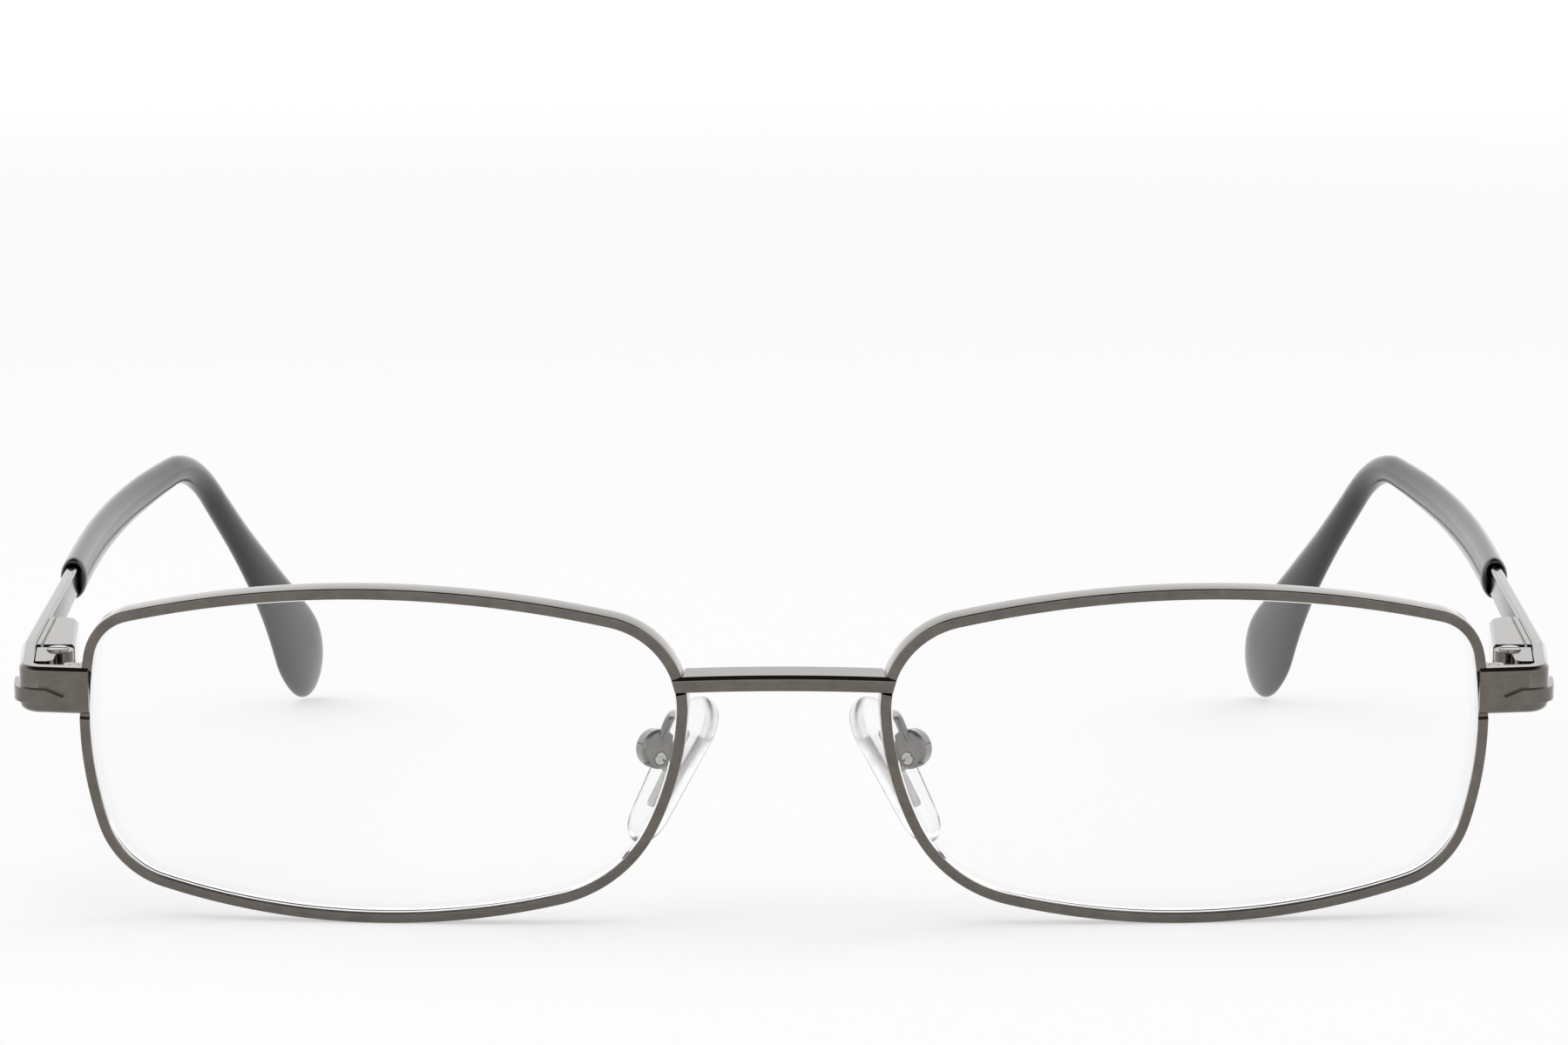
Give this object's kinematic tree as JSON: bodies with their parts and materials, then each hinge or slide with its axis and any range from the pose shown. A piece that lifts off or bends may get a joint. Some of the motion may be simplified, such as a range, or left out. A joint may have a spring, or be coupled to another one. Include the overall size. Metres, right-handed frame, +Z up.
{
  "type": "rectangular eyeglasses",
  "caption": "Rectangular full-rim metal eyeglasses with bowed bridge, clear lenses, nose pads on wire arms, folding spring-hinged temples and black plastic tips.",
  "frame": {"origin": "on the floor that the rims and temple tips stand on, under the middle of the whole object", "axes": "+X to the wearer's left across the front, +Y back along the temples, +Z up"},
  "size_m": [0.1374, 0.1332, 0.0308],
  "materials": {
    "gunmetal": "satin gunmetal",
    "steel": "polished",
    "lens": "clear",
    "tip_plastic": "gloss black",
    "pad_plastic": "clear, slightly frosted"
  },
  "bodies": {
    "front": {"bridge": "gunmetal", "rim_left": "gunmetal", "lens_left": "lens", "end_piece_left": "gunmetal", "rim_lock_upper_left": "gunmetal", "rim_lock_lower_left": "gunmetal", "rim_lock_screw_left": "steel", "hinge_front_left": "gunmetal", "pad_arm_left": "steel", "pad_box_left": "steel", "pad_screw_left": "steel", "rim_right": "gunmetal", "lens_right": "lens", "end_piece_right": "gunmetal", "rim_lock_upper_right": "gunmetal", "rim_lock_lower_right": "gunmetal", "rim_lock_screw_right": "steel", "hinge_front_right": "gunmetal", "pad_arm_right": "steel", "pad_box_right": "steel", "pad_screw_right": "steel"},
    "pin_left": {"hinge_screw_left": "steel"},
    "slider_left": {"hinge_slider_left": "steel"},
    "arm_left": {"temple_left": "gunmetal", "temple_tip_left": "tip_plastic", "hinge_housing_left": "gunmetal", "hinge_spring_left": "steel"},
    "pad_left": {"nose_pad_left": "pad_plastic", "pad_core_left": "steel"},
    "pin_right": {"hinge_screw_right": "steel"},
    "slider_right": {"hinge_slider_right": "steel"},
    "arm_right": {"temple_right": "gunmetal", "temple_tip_right": "tip_plastic", "hinge_housing_right": "gunmetal", "hinge_spring_right": "steel"},
    "pad_right": {"nose_pad_right": "pad_plastic", "pad_core_right": "steel"}
  },
  "joints": [
    {"name": "fold_left", "type": "hinge", "parent": "front", "child": "pin_left", "pos_m": [0.06465, -0.05251, 0.02129], "axis": [0, -0.0983, 0.9952], "range_deg": [0, 84]},
    {"name": "flex_left", "type": "hinge", "parent": "pin_left", "child": "slider_left", "pos_m": [0.06465, -0.05251, 0.02129], "axis": [0, -0.0983, 0.9952], "range_deg": [-12, 0], "stiffness_Nm_per_rad": 0.25, "springref_deg": 11.46},
    {"name": "slide_left", "type": "slide", "parent": "slider_left", "child": "arm_left", "axis": [0, 0.9952, 0.0983], "range_m": [0, 0.00075], "deforming": ["hinge_spring_left"]},
    {"name": "pad_rock_left", "type": "hinge", "parent": "front", "child": "pad_left", "pos_m": [0.01126, -0.0572, 0.01411], "axis": [0.4695, 0.8829, 0], "range_deg": [-12, 12]},
    {"name": "fold_right", "type": "hinge", "parent": "front", "child": "pin_right", "pos_m": [-0.06465, -0.05251, 0.02129], "axis": [0, 0.0983, -0.9952], "range_deg": [0, 76]},
    {"name": "flex_right", "type": "hinge", "parent": "pin_right", "child": "slider_right", "pos_m": [-0.06465, -0.05251, 0.02129], "axis": [0, 0.0983, -0.9952], "range_deg": [-12, 0], "stiffness_Nm_per_rad": 0.25, "springref_deg": 11.46},
    {"name": "slide_right", "type": "slide", "parent": "slider_right", "child": "arm_right", "axis": [0, 0.9952, 0.0983], "range_m": [0, 0.00075], "deforming": ["hinge_spring_right"]},
    {"name": "pad_rock_right", "type": "hinge", "parent": "front", "child": "pad_right", "pos_m": [-0.01126, -0.0572, 0.01411], "axis": [0.4695, -0.8829, 0], "range_deg": [-12, 12]}
  ],
  "couplings": [
    {"joint": "slide_left", "follows": "flex_left", "m_per_rad": -0.00355},
    {"joint": "slide_right", "follows": "flex_right", "m_per_rad": -0.00355}
  ]
}
